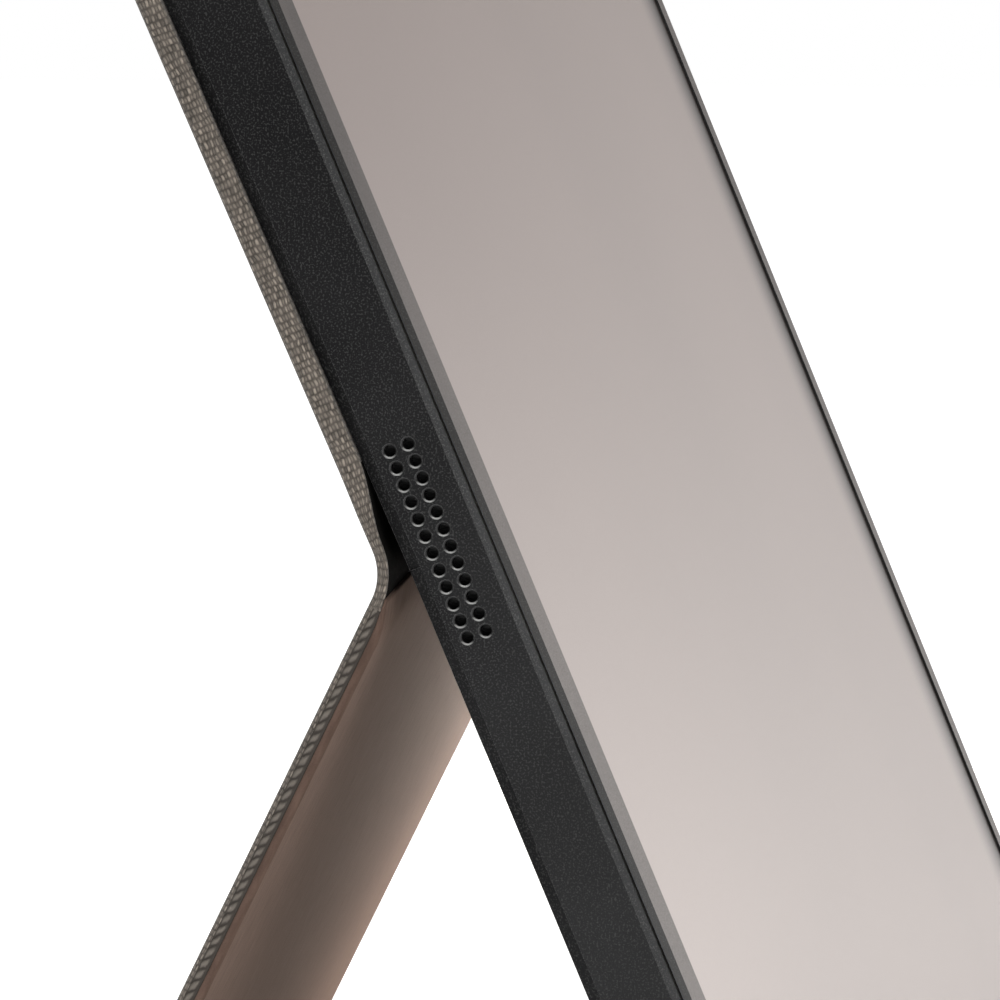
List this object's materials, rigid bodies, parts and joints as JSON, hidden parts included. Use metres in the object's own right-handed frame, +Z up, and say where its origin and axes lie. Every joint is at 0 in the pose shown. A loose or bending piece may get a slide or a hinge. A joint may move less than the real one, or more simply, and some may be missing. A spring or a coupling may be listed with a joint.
{
  "type": "portable monitor with folding cover",
  "caption": "Thin portable display in a woven folding cover: the lower back panel swings out as a stand leg and a front lid folds down on the table.",
  "frame": {"origin": "centre of the bounding box on the table, with the monitor standing open as in the picture", "axes": "+X along the width, -Y the way the screen faces, +Z up"},
  "size_m": [0.3248, 0.3664, 0.2133],
  "materials": {
    "case_plastic": "fine matte texture, black",
    "bezel_plastic": "fine matte texture, black",
    "screen_glass": "matte anti-glare display cell",
    "clear_film": "clear acrylic and diffuser film",
    "white_film": "white reflector film",
    "tray_metal": "stamped sheet",
    "steel": "plain steel",
    "screw_steel": "blackened steel",
    "magnet": "nickel-plated magnets",
    "led": "LED strip on a narrow board",
    "circuit_board": "solder-masked circuit board",
    "flat_cable": "polyimide flat cable",
    "dark_part": "moulded black plastic",
    "mesh": "woven dust mesh",
    "foam": "closed-cell foam",
    "foot_rubber": "soft black rubber",
    "woven_skin": "taupe woven fabric, rounded at the edges",
    "suede_lining": "brown-taupe suede microfibre",
    "crease_band": "dark inner band at the crease",
    "stiff_board": "glass-fibre stiffening board"
  },
  "bodies": {
    "monitor": {"rear_housing": "case_plastic", "front_bezel": "bezel_plastic", "lcd_cell": "screen_glass", "optical_films": "clear_film", "light_guide": "clear_film", "reflector_sheet": "white_film", "panel_tray": "tray_metal", "led_strip": "led", "driver_board": "circuit_board", "main_board": "circuit_board", "shield_can": "steel", "ribbon_cable": "flat_cable", "speaker_box_left": "dark_part", "speaker_box_right": "dark_part", "speaker_driver_left": "dark_part", "speaker_driver_right": "dark_part", "speaker_mesh_left": "mesh", "speaker_mesh_right": "mesh", "speaker_flex_left": "flat_cable", "speaker_flex_right": "flat_cable", "usb_c_port_upper": "steel", "usb_c_port_lower": "steel", "mini_hdmi_port": "steel", "audio_jack": "dark_part", "button_board": "circuit_board", "tact_switches": "dark_part", "status_light_pipe": "clear_film", "case_screws": "screw_steel", "board_screws": "steel", "case_magnets": "magnet", "foam_strips": "foam", "upper_board": "stiff_board", "upper_skin": "woven_skin", "upper_lining": "suede_lining", "upper_steel_plate": "steel", "crease_skin": "woven_skin", "crease_band": "crease_band", "hinge_leaves_fixed": "steel", "hinge_pins": "steel", "dock_bar": "dark_part", "dock_feet": "foot_rubber", "dock_rod": "steel", "dock_magnets": "magnet", "lid_crease_skin": "woven_skin", "lid_crease_lining": "suede_lining"},
    "leg": {"hinge_leaves_moving": "steel", "leg_board": "stiff_board", "leg_skin": "woven_skin", "leg_lining": "suede_lining", "leg_magnets": "magnet"},
    "lid": {"lid_board": "stiff_board", "lid_skin": "woven_skin", "lid_lining": "suede_lining", "lid_magnets": "magnet"},
    "power_key": {"power_button": "dark_part"},
    "brighter_key": {"brighter_button": "dark_part"},
    "dimmer_key": {"dimmer_button": "dark_part"}
  },
  "joints": [
    {"name": "leg_hinge", "type": "hinge", "parent": "monitor", "child": "leg", "pos_m": [0, 0.11274, 0.14435], "axis": [1, 0, 0], "range_deg": [-48.4, 80], "deforming": ["crease_skin", "crease_band"]},
    {"name": "lid_hinge", "type": "hinge", "parent": "monitor", "child": "lid", "pos_m": [0, 0.04339, 0.00397], "axis": [1, 0, 0], "range_deg": [-112.6, 67.4], "deforming": ["lid_crease_skin", "lid_crease_lining"]},
    {"name": "power_press", "type": "slide", "parent": "monitor", "child": "power_key", "axis": [-1, 0, 0], "range_m": [0, 0.00035], "stiffness_N_per_m": 900, "springref_m": -0.0006},
    {"name": "brighter_press", "type": "slide", "parent": "monitor", "child": "brighter_key", "axis": [-1, 0, 0], "range_m": [0, 0.00035], "stiffness_N_per_m": 900, "springref_m": -0.0006},
    {"name": "dimmer_press", "type": "slide", "parent": "monitor", "child": "dimmer_key", "axis": [-1, 0, 0], "range_m": [0, 0.00035], "stiffness_N_per_m": 900, "springref_m": -0.0006}
  ]
}
